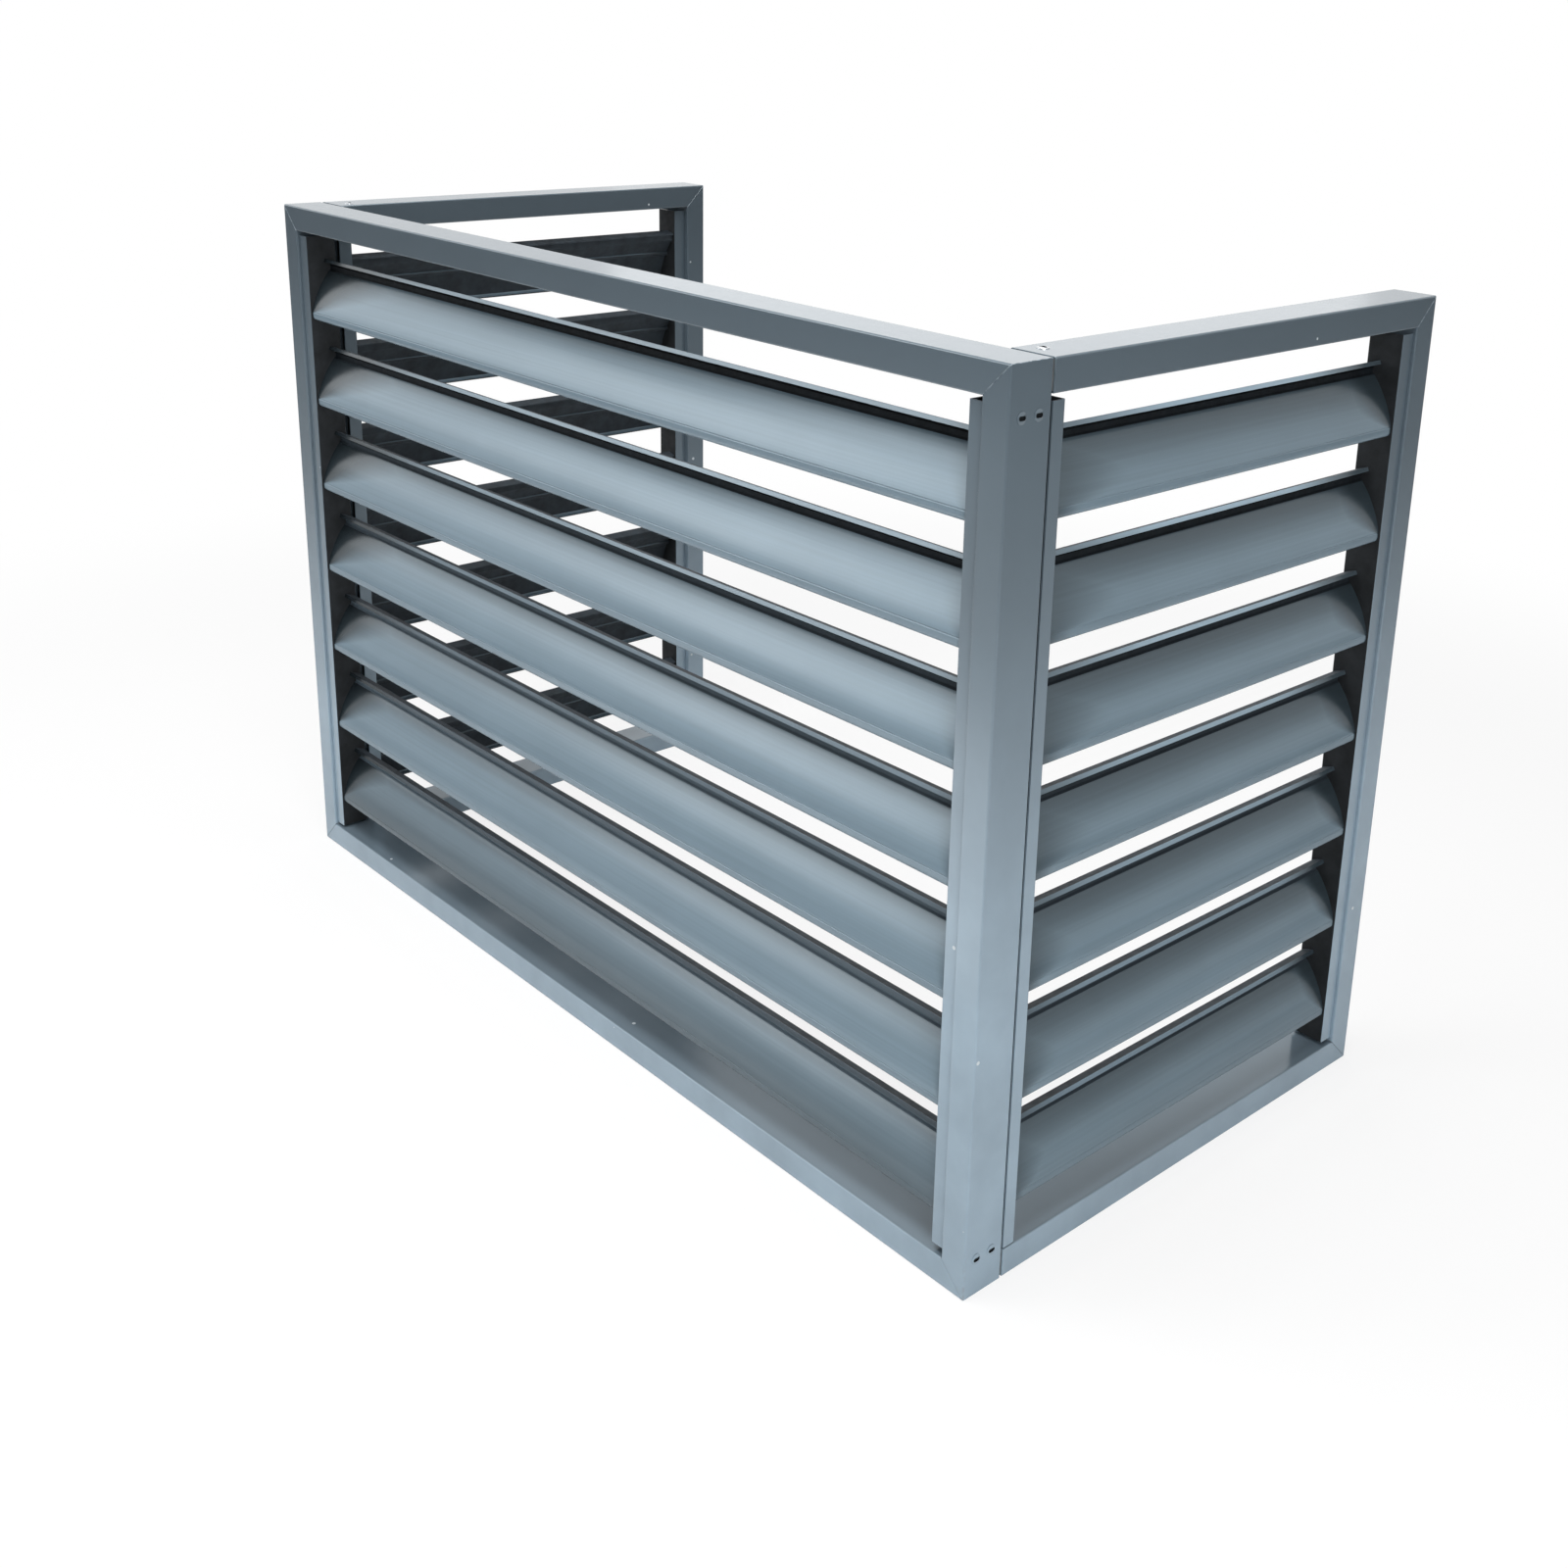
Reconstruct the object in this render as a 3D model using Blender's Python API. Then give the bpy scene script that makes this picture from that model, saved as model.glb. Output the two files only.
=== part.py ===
"""Louvred screen that stands round an outdoor air conditioner: three slatted panels in a U.

Metres, +Z up. The origin is on the ground under the middle of the screen, the front panel
faces -Y, and the back, the top and the underside are open. Each panel is drawn in its own
frame, with X along the panel, Y going inwards from its outer face and Z up, and is placed
by an empty. A slat's outline is given as (depth, height), with height zero at its nose.
"""
import math

import bmesh
import bpy
from mathutils import Matrix, Vector

# Overall size
SCREEN_WIDTH = 1.000
SCREEN_DEPTH = 0.500
SCREEN_HEIGHT = 0.700

# Frame tube
TUBE_FACE = 0.024
TUBE_DEPTH = 0.040
TUBE_WALL = 0.0015
TUBE_EDGE_RADIUS = 0.0012
TUBE_INNER_RADIUS = 0.0006

# Upright channels that carry the slats
CHANNEL_WIDTH = 0.0135
CHANNEL_DEPTH = 0.031
CHANNEL_SETBACK = 0.003
CHANNEL_WALL = 0.0015
CHANNEL_TOP_GAP = 0.0047
CHANNEL_FOOT_GAP = 0.0006

# Slats
SLAT_COUNT = 7
SLAT_TOP_GAP = 0.0276
SLAT_FOOT_GAP = 0.0299
SLAT_SETBACK = 0.005
SLAT_RISE = 0.0526
SLAT_WALL = 0.0016
SLAT_BULGE = 0.0025
CROWN_OFFSET = 0.0153
CROWN_DEPTH = 0.0115
CROWN_FALL = 0.0036
CROWN_LIP = 0.0027
GROOVE_HEIGHT = 0.0097
GROOVE_DEPTH = 0.0072
BLADE_TOP_OFFSET = 0.0205
SHOULDER_RISE = 0.0012
NOSE_DROP = 0.008
NOSE_RADIUS = 0.004
NOSE_RETURN = 0.003
SCREW_PORT_RADIUS = 0.0028

# Corner keys inside the mitred corners, and connectors inside the side rails' front ends
KEY_REACH = 0.040
CONNECTOR_LENGTH = 0.045
STUD_DIAMETER = 0.006
STUD_GRIP = 0.008

# Screws, flush in the tubes' walls
SCREW_HEAD_DIAMETER = 0.0064
SCREW_SHANK_DIAMETER = 0.0035
SCREW_GRIP = 0.010
CORNER_SCREW_DROP = 0.036
CORNER_SCREW_RISE = 0.0315
CORNER_SCREW_DEPTHS = (0.012, 0.028)
CONNECTOR_SCREW_INSET = 0.0175
CONNECTOR_SCREW_DEPTH = 0.026

# Clearances and drawing steps
GAP = 0.0003
CUT_OVERRUN = 0.002
EDGE_STEPS = 2
BLADE_STEPS = 6
NOSE_STEPS = 3
PORT_STEPS = 6
ROUND_SIDES = 12
SMOOTH_ANGLE = math.radians(35)

PORT_PLACE_SHARE = 0.62

# Sizes that follow from those above
CAVITY_INSET = TUBE_WALL + GAP
KEY_WIDTH = TUBE_FACE - 2 * CAVITY_INSET
SIDE_START = TUBE_DEPTH + GAP
SLAT_SPAN = SCREEN_HEIGHT - 2 * TUBE_FACE - SLAT_TOP_GAP - SLAT_FOOT_GAP - SLAT_RISE - NOSE_DROP
SLAT_PITCH = SLAT_SPAN / (SLAT_COUNT - 1)
TOP_NOSE_HEIGHT = SCREEN_HEIGHT - TUBE_FACE - SLAT_TOP_GAP - SLAT_RISE
STUD_REACH = GAP + TUBE_WALL + GAP + STUD_GRIP


def clear_scene():
    """Removes whatever the file holds at the start."""
    for scene_object in list(bpy.data.objects):
        bpy.data.objects.remove(scene_object)


def coating(name, colour, roughness, metallic):
    """A plain Principled material."""
    material = bpy.data.materials.new(name)
    material.use_nodes = True
    shader = material.node_tree.nodes["Principled BSDF"]
    shader.inputs["Base Color"].default_value = (*colour, 1.0)
    shader.inputs["Roughness"].default_value = roughness
    shader.inputs["Metallic"].default_value = metallic
    return material


def frame_coating():
    """Anthracite powder coat of the frame tubes."""
    return coating("frame_powder_coat", (0.090, 0.110, 0.125), 0.45, 0.25)


def slat_coating():
    """The same powder coat on the slats, drawn a little lighter."""
    return coating("slat_powder_coat", (0.110, 0.135, 0.150), 0.42, 0.25)


def channel_coating():
    """The powder coat of the upright channels."""
    return coating("channel_powder_coat", (0.085, 0.105, 0.118), 0.45, 0.25)


def key_metal():
    """Bare cast aluminium of the hidden keys and connectors."""
    return coating("cast_aluminium", (0.450, 0.450, 0.440), 0.50, 0.90)


def screw_metal():
    """Zinc plate of the screws."""
    return coating("zinc_plate", (0.600, 0.610, 0.620), 0.30, 1.00)


def new_object(name, shape, parent=None):
    """Turns a bmesh into a named object under its panel."""
    bmesh.ops.recalc_face_normals(shape, faces=shape.faces)
    mesh = bpy.data.meshes.new(name)
    shape.to_mesh(mesh)
    shape.free()
    scene_object = bpy.data.objects.new(name, mesh)
    scene_object.parent = parent
    bpy.context.collection.objects.link(scene_object)
    return scene_object


def paint(scene_object, material):
    """Gives an object its material and smooth shading between its sharp edges."""
    scene_object.data.materials.append(material)
    scene_object.data.shade_smooth()
    scene_object.data.set_sharp_from_angle(angle=SMOOTH_ANGLE)


def prism(points, sweep):
    """Extrudes a closed outline of points along the sweep vector."""
    shape = bmesh.new()
    face = shape.faces.new([shape.verts.new(point) for point in points])
    swept = bmesh.ops.extrude_face_region(shape, geom=[face])["geom"]
    corners = [item for item in swept if isinstance(item, bmesh.types.BMVert)]
    bmesh.ops.translate(shape, verts=corners, vec=sweep)
    return shape


def arc(centre, radius, start, end, steps):
    """Points on a round stretch of an outline, both ends included."""
    points = []
    for step in range(steps + 1):
        turn = start + (end - start) * step / steps
        points.append((centre[0] + radius * math.cos(turn), centre[1] + radius * math.sin(turn)))
    return points


def rounded_outline(width, height, inset, radius):
    """A rectangle with round corners, the inset inside one from zero to width and height."""
    low = inset + radius
    wide, high = width - low, height - low
    centres = ((wide, high), (low, high), (low, low), (wide, low))
    points = []
    for quarter, centre in enumerate(centres):
        start = quarter * math.pi / 2
        points += arc(centre, radius, start, start + math.pi / 2, EDGE_STEPS)
    return points


def tube_ring(shape, outline, place, mitre):
    """One ring of a tube: mitre is +1 or -1 where the end is cut at 45 degrees, else 0."""
    ring = []
    for depth, from_edge in outline:
        ring.append(shape.verts.new((place + mitre * (from_edge + GAP / 2), depth, -from_edge)))
    return ring


def tube(name, panel, length, mitred_start, mitred_end):
    """A hollow frame tube along X, its outer edge on Z = 0, open at both ends."""
    shape = bmesh.new()
    skins = []
    for inset, radius in ((0, TUBE_EDGE_RADIUS), (TUBE_WALL, TUBE_INNER_RADIUS)):
        outline = rounded_outline(TUBE_DEPTH, TUBE_FACE, inset, radius)
        start = tube_ring(shape, outline, 0, mitred_start)
        end = tube_ring(shape, outline, length, -mitred_end)
        skins.append((start, end))
    for near, far in (*skins, *zip(*skins)):
        for index in range(len(near)):
            shape.faces.new((near[index - 1], near[index], far[index], far[index - 1]))
    return new_object(name, shape, panel["frame"])


def top_rail(panel):
    """The rail along the panel's top edge."""
    length = panel["last"] - panel["first"]
    rail = tube(panel["name"] + "_top_rail", panel, length, panel["stile_first"], panel["stile_last"])
    rail.location = (panel["first"], 0, SCREEN_HEIGHT)
    return rail


def bottom_rail(panel):
    """The rail that stands on the ground: a top rail turned over."""
    length = panel["last"] - panel["first"]
    rail = tube(panel["name"] + "_bottom_rail", panel, length, panel["stile_first"], panel["stile_last"])
    rail.location = (panel["first"], TUBE_DEPTH, 0)
    rail.rotation_euler = (math.pi, 0, 0)
    return rail


def first_stile(panel, name):
    """The upright at the panel's first end."""
    stile = tube(name, panel, SCREEN_HEIGHT, True, True)
    stile.location = (panel["first"], 0, 0)
    stile.rotation_euler = (0, -math.pi / 2, 0)
    return stile


def last_stile(panel, name):
    """The upright at the panel's last end."""
    stile = tube(name, panel, SCREEN_HEIGHT, True, True)
    stile.location = (panel["last"], 0, SCREEN_HEIGHT)
    stile.rotation_euler = (0, math.pi / 2, 0)
    return stile


def channel(panel, name, edge, inwards):
    """A C-shaped upright, its web turned to the slats; edge is the side it stands against."""
    near, far = edge + inwards * GAP, edge + inwards * (GAP + CHANNEL_WIDTH)
    web = far - inwards * CHANNEL_WALL
    front, back = CHANNEL_SETBACK, CHANNEL_SETBACK + CHANNEL_DEPTH
    outline = (
        (near, front), (far, front), (far, back), (near, back),
        (near, back - CHANNEL_WALL), (web, back - CHANNEL_WALL),
        (web, front + CHANNEL_WALL), (near, front + CHANNEL_WALL),
    )
    foot = TUBE_FACE + CHANNEL_FOOT_GAP
    head = SCREEN_HEIGHT - TUBE_FACE - CHANNEL_TOP_GAP
    shape = prism([(x, y, foot) for x, y in outline], Vector((0, 0, head - foot)))
    return new_object(name, shape, panel["frame"])


def blade_arc():
    """Centre, radius and end angles of the blade's round face, from its top to its nose."""
    top = Vector((SLAT_SETBACK + BLADE_TOP_OFFSET, SLAT_RISE - CROWN_LIP - GROOVE_HEIGHT))
    nose = Vector((SLAT_SETBACK, 0))
    chord = nose - top
    radius = chord.length_squared / (8 * SLAT_BULGE) + SLAT_BULGE / 2
    inwards = Vector((-chord.y, chord.x)).normalized()
    centre = (top + nose) / 2 + inwards * (radius - SLAT_BULGE)
    start = math.atan2(top.y - centre.y, top.x - centre.x)
    end = math.atan2(nose.y - centre.y, nose.x - centre.x) % math.tau
    return centre, radius, start, end


def screw_port(centre, radius, turn):
    """The half-round rib on the blade's inner face."""
    middle = (centre.x + radius * math.cos(turn), centre.y + radius * math.sin(turn))
    side = turn + math.pi / 2
    return arc(middle, SCREW_PORT_RADIUS, side, side + math.pi, PORT_STEPS)


def crown_point(offset, below):
    """A point of the crown: its offset behind the lip and its height below the sloping top."""
    slope = CROWN_FALL / CROWN_DEPTH
    return SLAT_SETBACK + CROWN_OFFSET + offset, SLAT_RISE - slope * offset - below


def nose_outline():
    """The rolled lip under the blade, from its front round to its inner face."""
    centre = (SLAT_SETBACK + NOSE_RADIUS, NOSE_RADIUS - NOSE_DROP)
    outer = arc(centre, NOSE_RADIUS, math.pi, math.pi * 3 / 2, NOSE_STEPS)
    inner = arc(centre, NOSE_RADIUS - SLAT_WALL, math.pi * 3 / 2, math.pi, NOSE_STEPS)
    reach = centre[0] + NOSE_RETURN
    return outer + [(reach, -NOSE_DROP), (reach, SLAT_WALL - NOSE_DROP)] + inner


def blade_back(centre, radius, start, end):
    """The blade's inner face from the nose up, with the rib that takes the end screws."""
    port_turn = start + (end - start) * (1 - PORT_PLACE_SHARE)
    half_port = SCREW_PORT_RADIUS / radius
    below = arc(centre, radius, end, port_turn + half_port, NOSE_STEPS)[:-1]
    above = arc(centre, radius, port_turn - half_port, start, NOSE_STEPS)[1:]
    return below + screw_port(centre, radius, port_turn) + above


def slat_outline():
    """The extruded section of a slat as (depth, height) points."""
    centre, radius, start, end = blade_arc()
    blade_front = arc(centre, radius, start, end, BLADE_STEPS)
    groove_back, groove_top = crown_point(GROOVE_DEPTH, SLAT_WALL)
    web_back, web_top = crown_point(GROOVE_DEPTH + SLAT_WALL, SLAT_WALL)
    shoulder = blade_front[0][1] + SHOULDER_RISE
    lip_bottom = SLAT_RISE - CROWN_LIP
    lip_front, lip_back = crown_point(0, 0), crown_point(SLAT_WALL, SLAT_WALL)
    return [
        crown_point(CROWN_DEPTH, 0), lip_front,
        (lip_front[0], lip_bottom), (lip_back[0], lip_bottom), lip_back,
        (groove_back, groove_top), (groove_back, shoulder),
        *blade_front, *nose_outline(), *blade_back(centre, radius - SLAT_WALL, start, end),
        (web_back, shoulder), (web_back, web_top), crown_point(CROWN_DEPTH, SLAT_WALL),
    ]


def slat(panel, number, start, end):
    """One slat between the two channels, number 1 at the top."""
    nose_height = TOP_NOSE_HEIGHT - (number - 1) * SLAT_PITCH
    points = [(start, depth, height) for depth, height in slat_outline()]
    shape = prism(points, Vector((end - start, 0, 0)))
    blade = new_object("%s_slat_%d" % (panel["name"], number), shape, panel["frame"])
    blade.location = (0, 0, nose_height)
    return blade


def corner_key(panel, name, edge, inwards, ground, upwards):
    """An L-shaped block in a mitred corner, one leg in each tube."""
    near_x, near_z = edge + inwards * CAVITY_INSET, ground + upwards * CAVITY_INSET
    inner_x, inner_z = near_x + inwards * KEY_WIDTH, near_z + upwards * KEY_WIDTH
    far_x = edge + inwards * (TUBE_FACE + KEY_REACH)
    far_z = ground + upwards * (TUBE_FACE + KEY_REACH)
    outline = (
        (near_x, near_z), (far_x, near_z), (far_x, inner_z),
        (inner_x, inner_z), (inner_x, far_z), (near_x, far_z),
    )
    thickness = TUBE_DEPTH - 2 * CAVITY_INSET
    shape = prism([(x, CAVITY_INSET, z) for x, z in outline], Vector((0, thickness, 0)))
    return new_object(name, shape, panel["frame"])


def rod(name, panel, diameter, start, end):
    """A round rod between two points of the panel's frame."""
    axis = Vector(end) - Vector(start)
    shape = bmesh.new()
    bmesh.ops.create_cone(
        shape, cap_ends=True, segments=ROUND_SIDES,
        radius1=diameter / 2, radius2=diameter / 2, depth=axis.length,
    )
    turn = axis.to_track_quat("Z", "Y").to_matrix().to_4x4()
    middle = Matrix.Translation((Vector(start) + Vector(end)) / 2)
    bmesh.ops.transform(shape, matrix=middle @ turn, verts=shape.verts)
    return new_object(name, shape, panel["frame"])


def hide_tool(scene_object):
    """Marks a shape that only cuts or adds to other pieces."""
    scene_object.hide_render = True
    scene_object.display_type = "WIRE"
    return scene_object


def combine(scene_object, tool, operation):
    """Adds a Boolean modifier that cuts or joins the tool."""
    modifier = scene_object.modifiers.new(tool.name, "BOOLEAN")
    modifier.solver = "EXACT"
    modifier.operation = operation
    modifier.object = tool


def drill(pieces, name, panel, diameter, start, end):
    """Cuts one round hole, wider than what passes through it, in each of the pieces."""
    cutter = hide_tool(rod(name, panel, diameter + 2 * GAP, start, end))
    for piece in pieces:
        combine(piece, cutter, "DIFFERENCE")


def flush_screw(panel, name, wall_piece, anchor, face_point, inwards, material):
    """A screw whose head lies flush in a tube's wall and whose shank holds the piece behind."""
    face_point, inwards = Vector(face_point), Vector(inwards)
    seat = face_point + inwards * TUBE_WALL
    tip = seat + inwards * SCREW_GRIP
    over = inwards * CUT_OVERRUN
    shank_root = face_point + inwards * GAP
    hole_end = seat + inwards * GAP / 2
    screw = rod(name, panel, SCREW_HEAD_DIAMETER, face_point, seat)
    shank = hide_tool(rod(name + "_shank", panel, SCREW_SHANK_DIAMETER, shank_root, tip))
    combine(screw, shank, "UNION")
    drill([wall_piece], name + "_hole", panel, SCREW_HEAD_DIAMETER, face_point - over, hole_end)
    drill([anchor], name + "_pilot", panel, SCREW_SHANK_DIAMETER, seat, tip + over)
    paint(screw, material)


def connector(panel, name, end, inwards, ground, upwards):
    """The block in a side rail's front end, with the stud that enters the front frame."""
    near_z = ground + upwards * CAVITY_INSET
    far_z = near_z + upwards * KEY_WIDTH
    start, stop = end + inwards * GAP, end + inwards * CONNECTOR_LENGTH
    outline = ((start, near_z), (stop, near_z), (stop, far_z), (start, far_z))
    thickness = TUBE_DEPTH - 2 * CAVITY_INSET
    shape = prism([(x, CAVITY_INSET, z) for x, z in outline], Vector((0, thickness, 0)))
    block = new_object(name, shape, panel["frame"])
    middle_z = ground + upwards * TUBE_FACE / 2
    stud_end = (end - inwards * STUD_REACH, TUBE_DEPTH / 2, middle_z)
    stud_root = (stop - inwards * GAP, TUBE_DEPTH / 2, middle_z)
    stud = hide_tool(rod(name + "_stud", panel, STUD_DIAMETER, stud_end, stud_root))
    combine(block, stud, "UNION")
    return block


def build_panel(name, origin, turn, first, last, stile_first, stile_last, end_names):
    """Frame, channels and slats of one panel; returns its pieces by name."""
    frame = bpy.data.objects.new(name + "_panel", None)
    frame.location = origin
    frame.rotation_euler = (0, 0, turn)
    bpy.context.collection.objects.link(frame)
    panel = {
        "name": name, "frame": frame, "first": first, "last": last,
        "stile_first": stile_first, "stile_last": stile_last,
    }
    panel["rails"] = {"top": top_rail(panel), "bottom": bottom_rail(panel)}
    panel["stiles"] = {}
    if stile_first:
        panel["stiles"]["first"] = first_stile(panel, "%s_%s_stile" % (name, end_names[0]))
    if stile_last:
        panel["stiles"]["last"] = last_stile(panel, "%s_%s_stile" % (name, end_names[1]))
    for tube_piece in (*panel["rails"].values(), *panel["stiles"].values()):
        paint(tube_piece, MATERIALS["frame"])
    edges = (first + TUBE_FACE * stile_first, last - TUBE_FACE * stile_last)
    for edge, inwards, end_name in zip(edges, (1, -1), end_names):
        paint(channel(panel, "%s_%s_channel" % (name, end_name), edge, inwards), MATERIALS["channel"])
    margin = GAP + CHANNEL_WIDTH + GAP
    for number in range(1, SLAT_COUNT + 1):
        paint(slat(panel, number, edges[0] + margin, edges[1] - margin), MATERIALS["slat"])
    return panel


def build_keys(panel, end_names):
    """A key in each mitred corner of a panel, by end and height."""
    keys = {}
    ends = {"first": (panel["first"], 1), "last": (panel["last"], -1)}
    heights = {"top": (SCREEN_HEIGHT, -1), "bottom": (0, 1)}
    for end in panel["stiles"]:
        edge, inwards = ends[end]
        for height, (ground, upwards) in heights.items():
            name = "%s_%s_%s_key" % (panel["name"], height, end_names[end])
            keys[end, height] = corner_key(panel, name, edge, inwards, ground, upwards)
            paint(keys[end, height], MATERIALS["key"])
    return keys


def build_corner_screws(front, keys):
    """Two screws near each end of both front stiles, in the stile's outer side."""
    sides = {"first": ("left", front["first"], 1), "last": ("right", front["last"], -1)}
    heights = {"top": SCREEN_HEIGHT - CORNER_SCREW_DROP, "bottom": CORNER_SCREW_RISE}
    for end, (side, edge, inwards) in sides.items():
        for height, level in heights.items():
            for number, depth in enumerate(CORNER_SCREW_DEPTHS, start=1):
                name = "%s_%s_screw_%d" % (side, height, number)
                flush_screw(
                    front, name, front["stiles"][end], keys[end, height],
                    (edge, depth, level), (inwards, 0, 0), MATERIALS["screw"],
                )


def build_connectors(side, front, end, joint, inwards, front_end, front_keys):
    """Connectors at a side panel's front end, their studs in the front rails and keys."""
    heights = {"top": (SCREEN_HEIGHT, -1), "bottom": (0, 1)}
    for height, (ground, upwards) in heights.items():
        name = "%s_%s_connector" % (side["name"], height)
        block = connector(side, name, joint, inwards, ground, upwards)
        level = ground + upwards * TUBE_FACE / 2
        reach = STUD_REACH + CUT_OVERRUN
        start = (joint - inwards * reach, TUBE_DEPTH / 2, level)
        stop = (joint + inwards * GAP, TUBE_DEPTH / 2, level)
        pieces = [front["rails"][height], front_keys[front_end, height]]
        drill(pieces, name + "_stud_hole", side, STUD_DIAMETER, start, stop)
        paint(block, MATERIALS["key"])
        if height == "top":
            place = (joint + inwards * CONNECTOR_SCREW_INSET, CONNECTOR_SCREW_DEPTH, SCREEN_HEIGHT)
            flush_screw(
                side, side["name"] + "_connector_screw", side["rails"]["top"], block,
                place, (0, 0, -1), MATERIALS["screw"],
            )


def build_screen():
    """The three panels, their corner keys, connectors and screws."""
    half_width, half_depth = SCREEN_WIDTH / 2, SCREEN_DEPTH / 2
    front = build_panel(
        "front", (-half_width, -half_depth, 0), 0, 0, SCREEN_WIDTH, True, True, ("left", "right"),
    )
    right = build_panel(
        "right", (half_width, -half_depth, 0), math.pi / 2,
        SIDE_START, SCREEN_DEPTH, False, True, ("front", "back"),
    )
    left = build_panel(
        "left", (-half_width, half_depth, 0), -math.pi / 2,
        0, SCREEN_DEPTH - SIDE_START, True, False, ("back", "front"),
    )
    front_keys = build_keys(front, {"first": "left", "last": "right"})
    build_keys(right, {"last": "back"})
    build_keys(left, {"first": "back"})
    build_corner_screws(front, front_keys)
    build_connectors(right, front, "first", SIDE_START, 1, "last", front_keys)
    build_connectors(left, front, "last", SCREEN_DEPTH - SIDE_START, -1, "first", front_keys)


clear_scene()
MATERIALS = {
    "frame": frame_coating(),
    "channel": channel_coating(),
    "slat": slat_coating(),
    "key": key_metal(),
    "screw": screw_metal(),
}
build_screen()
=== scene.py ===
"""Refined pieces, finishes, studio and camera of the louvred air conditioner screen.

Metres, +Z up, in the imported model's own frame. Each panel also has a frame of its own, with X
along the panel, Y going inwards from its outer face and Z up. A slat's section is drawn there
in (depth, height), with height zero at the line above its nose.
"""
import math

import bmesh
import bpy
from bpy.props import FloatProperty, FloatVectorProperty, PointerProperty
from mathutils import Euler, Matrix, Vector


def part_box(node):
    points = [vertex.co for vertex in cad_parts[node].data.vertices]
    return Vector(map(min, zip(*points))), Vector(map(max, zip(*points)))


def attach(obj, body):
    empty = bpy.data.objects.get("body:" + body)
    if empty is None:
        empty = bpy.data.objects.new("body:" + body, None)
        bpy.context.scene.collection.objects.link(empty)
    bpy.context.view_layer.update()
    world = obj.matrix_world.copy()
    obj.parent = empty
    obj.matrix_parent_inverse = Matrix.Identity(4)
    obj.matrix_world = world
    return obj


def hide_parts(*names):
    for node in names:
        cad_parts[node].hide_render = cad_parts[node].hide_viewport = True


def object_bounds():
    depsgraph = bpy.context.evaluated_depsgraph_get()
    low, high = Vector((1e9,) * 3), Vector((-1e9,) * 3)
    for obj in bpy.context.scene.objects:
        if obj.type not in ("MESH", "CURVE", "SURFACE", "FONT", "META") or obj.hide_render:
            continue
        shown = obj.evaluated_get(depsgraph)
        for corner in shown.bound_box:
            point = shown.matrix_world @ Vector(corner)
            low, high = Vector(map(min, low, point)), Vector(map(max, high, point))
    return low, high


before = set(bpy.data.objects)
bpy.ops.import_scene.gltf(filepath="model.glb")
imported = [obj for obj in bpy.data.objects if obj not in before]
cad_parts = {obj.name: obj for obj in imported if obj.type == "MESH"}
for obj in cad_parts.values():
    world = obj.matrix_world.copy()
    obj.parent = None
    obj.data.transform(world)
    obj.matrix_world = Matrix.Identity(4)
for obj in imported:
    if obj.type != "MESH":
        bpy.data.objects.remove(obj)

bl_info = {
    "name": "Louvred screen",
    "version": (1, 0, 0),
    "blender": (4, 5, 0),
    "location": "3D View > Sidebar > Louvred screen",
    "description": "Builds the tubes, channels, slats and screws of an air conditioner screen",
    "category": "Add Mesh",
}

CAD_LOW, CAD_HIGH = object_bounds()
BODY = "root"
X_AXIS, Z_AXIS = Vector((1, 0, 0)), Vector((0, 0, 1))
SMOOTH_ANGLE = math.radians(38)
CORNER_ANGLE = math.radians(32)
SAME_PLACE = 0.00001
SLAT_COUNT = 7

# Panel name: its first end, its last end, and which of the two has a stile of its own
PANELS = {
    "front": ("left", "right", (True, True)),
    "right": ("front", "back", (False, True)),
    "left": ("back", "front", (True, False)),
}

# Channels that stand off in their own way: from the stile, from the bottom rail, and outwards
CHANNEL_GAPS = {
    "front_right_channel": (0.0, 0.0052, 0.0),
    "right_back_channel": (0.0, 0.0036, 0.0),
    "right_front_channel": (0.0015, 0.0004, 0.0024),
}

# Material slots of the tubes, of the slats after their coat (painted shade and the lip's painted
# light), and of the channels' webs and the screws' slots, which hold painted shade
PLAIN, WORN_LIT, CORNER = range(3)
GROOVE, GROOVE_FOOT, BACK_SHADE, LIP_LIGHT = range(1, 5)
SHADED = 1

# How far a face's normal points along an axis, to tell the faces of a slat or channel apart
TURNED, UPTURNED, END_ON, SQUARE_ON = 0.2, 0.3, 0.5, 0.9

# Patterns in the coats: noise scale per metre, detail, and swing about the middle value
TONE = (9.0, 4, 0.04)
GLOSS = (90.0, 3, 0.012)
CLOUDS = (16.0, 4, 0.15)
BLOTCHES = (60.0, 3, 0.3)
DULLNESS = (200.0, 2, 0.075)
NOISE_LOW, NOISE_HIGH = 0.3, 0.7

# Draw lines along a slat: scale and detail, squeeze lengthwise, swing of the tone and the gloss
LINES, LINE_SQUEEZE, LINE_TONE, LINE_GLOSS = (420.0, 3), 0.006, 0.05, 0.015

# Orange peel of the coat (scale and detail, strength, depth) and dents of bare metal
PEEL, PEEL_STRENGTH, PEEL_DEPTH = (1300.0, 2), 0.2, 0.0001
DENT_STRENGTH, DENT_DEPTH = 0.25, 0.0002

# Wear: scale and detail, the noise values where it starts and is full, and how high it reaches
WEAR, WEAR_FROM, WEAR_FULL = (260.0, 3), 0.44, 0.56
WORN_ALL, WORN_FOOT = 8.0, 0.05

# Chips: largest radius, density per metre, and their share of the chip colour on the slats
CHIP_RADIUS = 0.0017
FRAME_CHIPS, CHANNEL_CHIPS, SLAT_CHIPS = 34.0, 38.0, 12.0
SLAT_CHIP_SHARE = 0.2

COAT_IOR, COAT_TINT = 1.5, (0.84, 0.94, 1.0, 1.0)

# Coats of painted shade: middle roughness, and specular level on the slats' inner side, on webs, in
# grooves, and on groove feet and slots
SHADE_ROUGHNESS = 0.675
BACK_GLOSS, WEB_GLOSS, GROOVE_GLOSS, FOOT_GLOSS = 0.3, 0.2, 0.05, 0.1

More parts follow.
